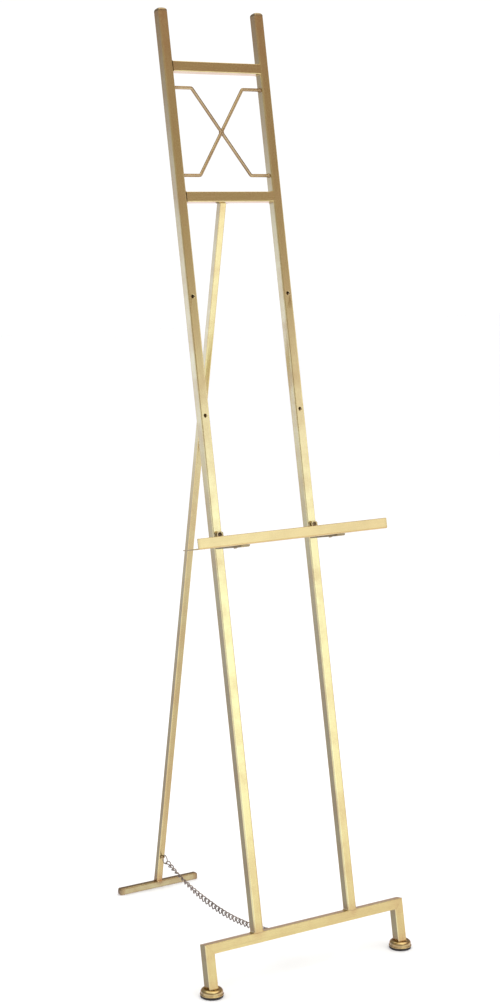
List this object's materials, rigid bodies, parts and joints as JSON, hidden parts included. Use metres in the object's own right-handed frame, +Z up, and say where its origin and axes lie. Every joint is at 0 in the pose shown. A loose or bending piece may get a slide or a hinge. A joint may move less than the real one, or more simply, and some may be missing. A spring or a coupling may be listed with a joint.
{
  "type": "display easel",
  "caption": "Tall leaning display easel of square metal tube with a hinged rear leg, a safety chain and a lift-off picture shelf that pegs into the uprights.",
  "frame": {"origin": "middle of the footprint on the floor, between the front feet and the rear foot bar", "axes": "+Z up, the front towards -Y, +X to the viewer's right as the front is seen"},
  "size_m": [0.4466, 0.5462, 1.675],
  "materials": {
    "frame_tube": "antique brass, satin with darker patina",
    "leg_tube": "antique brass, satin with darker patina",
    "rod": "antique brass, satin",
    "strap": "antique brass, satin",
    "tray_sheet": "brushed pale brass",
    "ferrule": "antique brass, satin",
    "end_caps": "aged reddish brass",
    "fittings": "aged brass",
    "chain": "dark bronze, worn",
    "pad": "matte black"
  },
  "bodies": {
    "front_frame": {"upright_left": "frame_tube", "upright_right": "frame_tube", "upright_cap_left": "end_caps", "upright_cap_right": "end_caps", "top_rail": "frame_tube", "mid_rail": "frame_tube", "base_rail": "frame_tube", "stub_leg_left": "frame_tube", "stub_leg_right": "frame_tube", "foot_left": "ferrule", "foot_right": "ferrule", "foot_pad_left": "pad", "foot_pad_right": "pad", "lattice_rod_long": "rod", "lattice_rod_upper": "rod", "lattice_rod_lower": "rod", "hinge_ear_left": "strap", "hinge_ear_right": "strap", "hinge_bolt": "fittings", "hinge_nut": "fittings", "hinge_washer_left": "fittings", "hinge_washer_right": "fittings", "rail_chain_eye": "fittings"},
    "rear_leg": {"rear_leg": "leg_tube", "rear_leg_plug": "end_caps", "rear_foot_bar": "leg_tube", "bar_cap_left": "end_caps", "bar_cap_right": "end_caps", "leg_chain_eye": "fittings"},
    "chain_ring": {"chain_ring": "chain"},
    "chain_13": {"chain_13": "chain"},
    "chain_12": {"chain_12": "chain"},
    "chain_11": {"chain_11": "chain"},
    "chain_10": {"chain_10": "chain"},
    "chain_09": {"chain_09": "chain"},
    "chain_08": {"chain_08": "chain"},
    "chain_07": {"chain_07": "chain"},
    "chain_01": {"chain_01": "chain"},
    "chain_02": {"chain_02": "chain"},
    "chain_03": {"chain_03": "chain"},
    "chain_04": {"chain_04": "chain"},
    "chain_05": {"chain_05": "chain"},
    "chain_06": {"chain_06": "chain"},
    "shelf": {"shelf_tray": "tray_sheet", "shelf_bracket_left": "strap", "shelf_bracket_right": "strap", "shelf_peg_left": "fittings", "shelf_peg_right": "fittings", "shelf_rivet_left": "fittings", "shelf_rivet_right": "fittings"}
  },
  "joints": [
    {"name": "rear_leg_fold", "type": "hinge", "parent": "front_frame", "child": "rear_leg", "pos_m": [0, 0.0266, 1.34452], "axis": [-1, 0, 0], "range_deg": [0, 19.4]},
    {"name": "chain_ring_swing", "type": "hinge", "parent": "rear_leg", "child": "chain_ring", "pos_m": [0, 0.24524, 0.06501], "axis": [1, 0, 0], "range_deg": [0, 19.4]},
    {"name": "chain_13_turn", "type": "hinge", "parent": "chain_ring", "child": "chain_13", "pos_m": [0, 0.23107, 0.06017], "axis": [0, 0, 1], "range_deg": [0, 101]},
    {"name": "chain_12_turn", "type": "hinge", "parent": "chain_13", "child": "chain_12", "pos_m": [0, 0.19699, 0.04855], "axis": [0, 0, 1], "range_deg": [0, 6.9]},
    {"name": "chain_11_turn", "type": "hinge", "parent": "chain_12", "child": "chain_11", "pos_m": [0, 0.16232, 0.03885], "axis": [0, 0, 1], "range_deg": [-3.6, 0]},
    {"name": "chain_10_turn", "type": "hinge", "parent": "chain_11", "child": "chain_10", "pos_m": [0, 0.12717, 0.0311], "axis": [0, 0, 1], "range_deg": [-18, 0]},
    {"name": "chain_09_turn", "type": "hinge", "parent": "chain_10", "child": "chain_09", "pos_m": [0, 0.09163, 0.02533], "axis": [0, 0, 1], "range_deg": [-30.2, 0]},
    {"name": "chain_08_turn", "type": "hinge", "parent": "chain_09", "child": "chain_08", "pos_m": [0, 0.05583, 0.02156], "axis": [0, 0, 1], "range_deg": [-36, 0]},
    {"name": "chain_07_turn", "type": "hinge", "parent": "chain_08", "child": "chain_07", "pos_m": [0, 0.01988, 0.01979], "axis": [0, 0, 1], "range_deg": [-36.1, 0]},
    {"name": "chain_01_turn", "type": "hinge", "parent": "front_frame", "child": "chain_01", "pos_m": [0, -0.22674, 0.06331], "axis": [0, 0, 1], "range_deg": [-152, 0]},
    {"name": "chain_02_turn", "type": "hinge", "parent": "chain_01", "child": "chain_02", "pos_m": [0, -0.19283, 0.05122], "axis": [0, 0, 1], "range_deg": [0, 16.7]},
    {"name": "chain_03_turn", "type": "hinge", "parent": "chain_02", "child": "chain_03", "pos_m": [0, -0.1583, 0.04105], "axis": [0, 0, 1], "range_deg": [0, 17.3]},
    {"name": "chain_04_turn", "type": "hinge", "parent": "chain_03", "child": "chain_04", "pos_m": [0, -0.12325, 0.03282], "axis": [0, 0, 1], "range_deg": [0, 19.1]},
    {"name": "chain_05_turn", "type": "hinge", "parent": "chain_04", "child": "chain_05", "pos_m": [0, -0.0878, 0.02656], "axis": [0, 0, 1], "range_deg": [0, 22.6]},
    {"name": "chain_06_turn", "type": "hinge", "parent": "chain_05", "child": "chain_06", "pos_m": [0, -0.05205, 0.0223], "axis": [0, 0, 1], "range_deg": [0, 27.5]},
    {"name": "shelf_pull", "type": "slide", "parent": "front_frame", "child": "shelf", "axis": [0, -0.982, 0.1891], "range_m": [0, 0.045]}
  ],
  "couplings": [
    {"joint": "chain_ring_swing", "follows": "rear_leg_fold", "ratio": 1},
    {"joint": "chain_13_turn", "follows": "rear_leg_fold", "ratio": 5.2062},
    {"joint": "chain_12_turn", "follows": "rear_leg_fold", "ratio": 0.35567},
    {"joint": "chain_11_turn", "follows": "rear_leg_fold", "ratio": -0.18557},
    {"joint": "chain_10_turn", "follows": "rear_leg_fold", "ratio": -0.92783},
    {"joint": "chain_09_turn", "follows": "rear_leg_fold", "ratio": -1.5567},
    {"joint": "chain_08_turn", "follows": "rear_leg_fold", "ratio": -1.8557},
    {"joint": "chain_07_turn", "follows": "rear_leg_fold", "ratio": -1.8608},
    {"joint": "chain_01_turn", "follows": "rear_leg_fold", "ratio": -7.8351},
    {"joint": "chain_02_turn", "follows": "rear_leg_fold", "ratio": 0.86082},
    {"joint": "chain_03_turn", "follows": "rear_leg_fold", "ratio": 0.89175},
    {"joint": "chain_04_turn", "follows": "rear_leg_fold", "ratio": 0.98454},
    {"joint": "chain_05_turn", "follows": "rear_leg_fold", "ratio": 1.1649},
    {"joint": "chain_06_turn", "follows": "rear_leg_fold", "ratio": 1.4175}
  ]
}
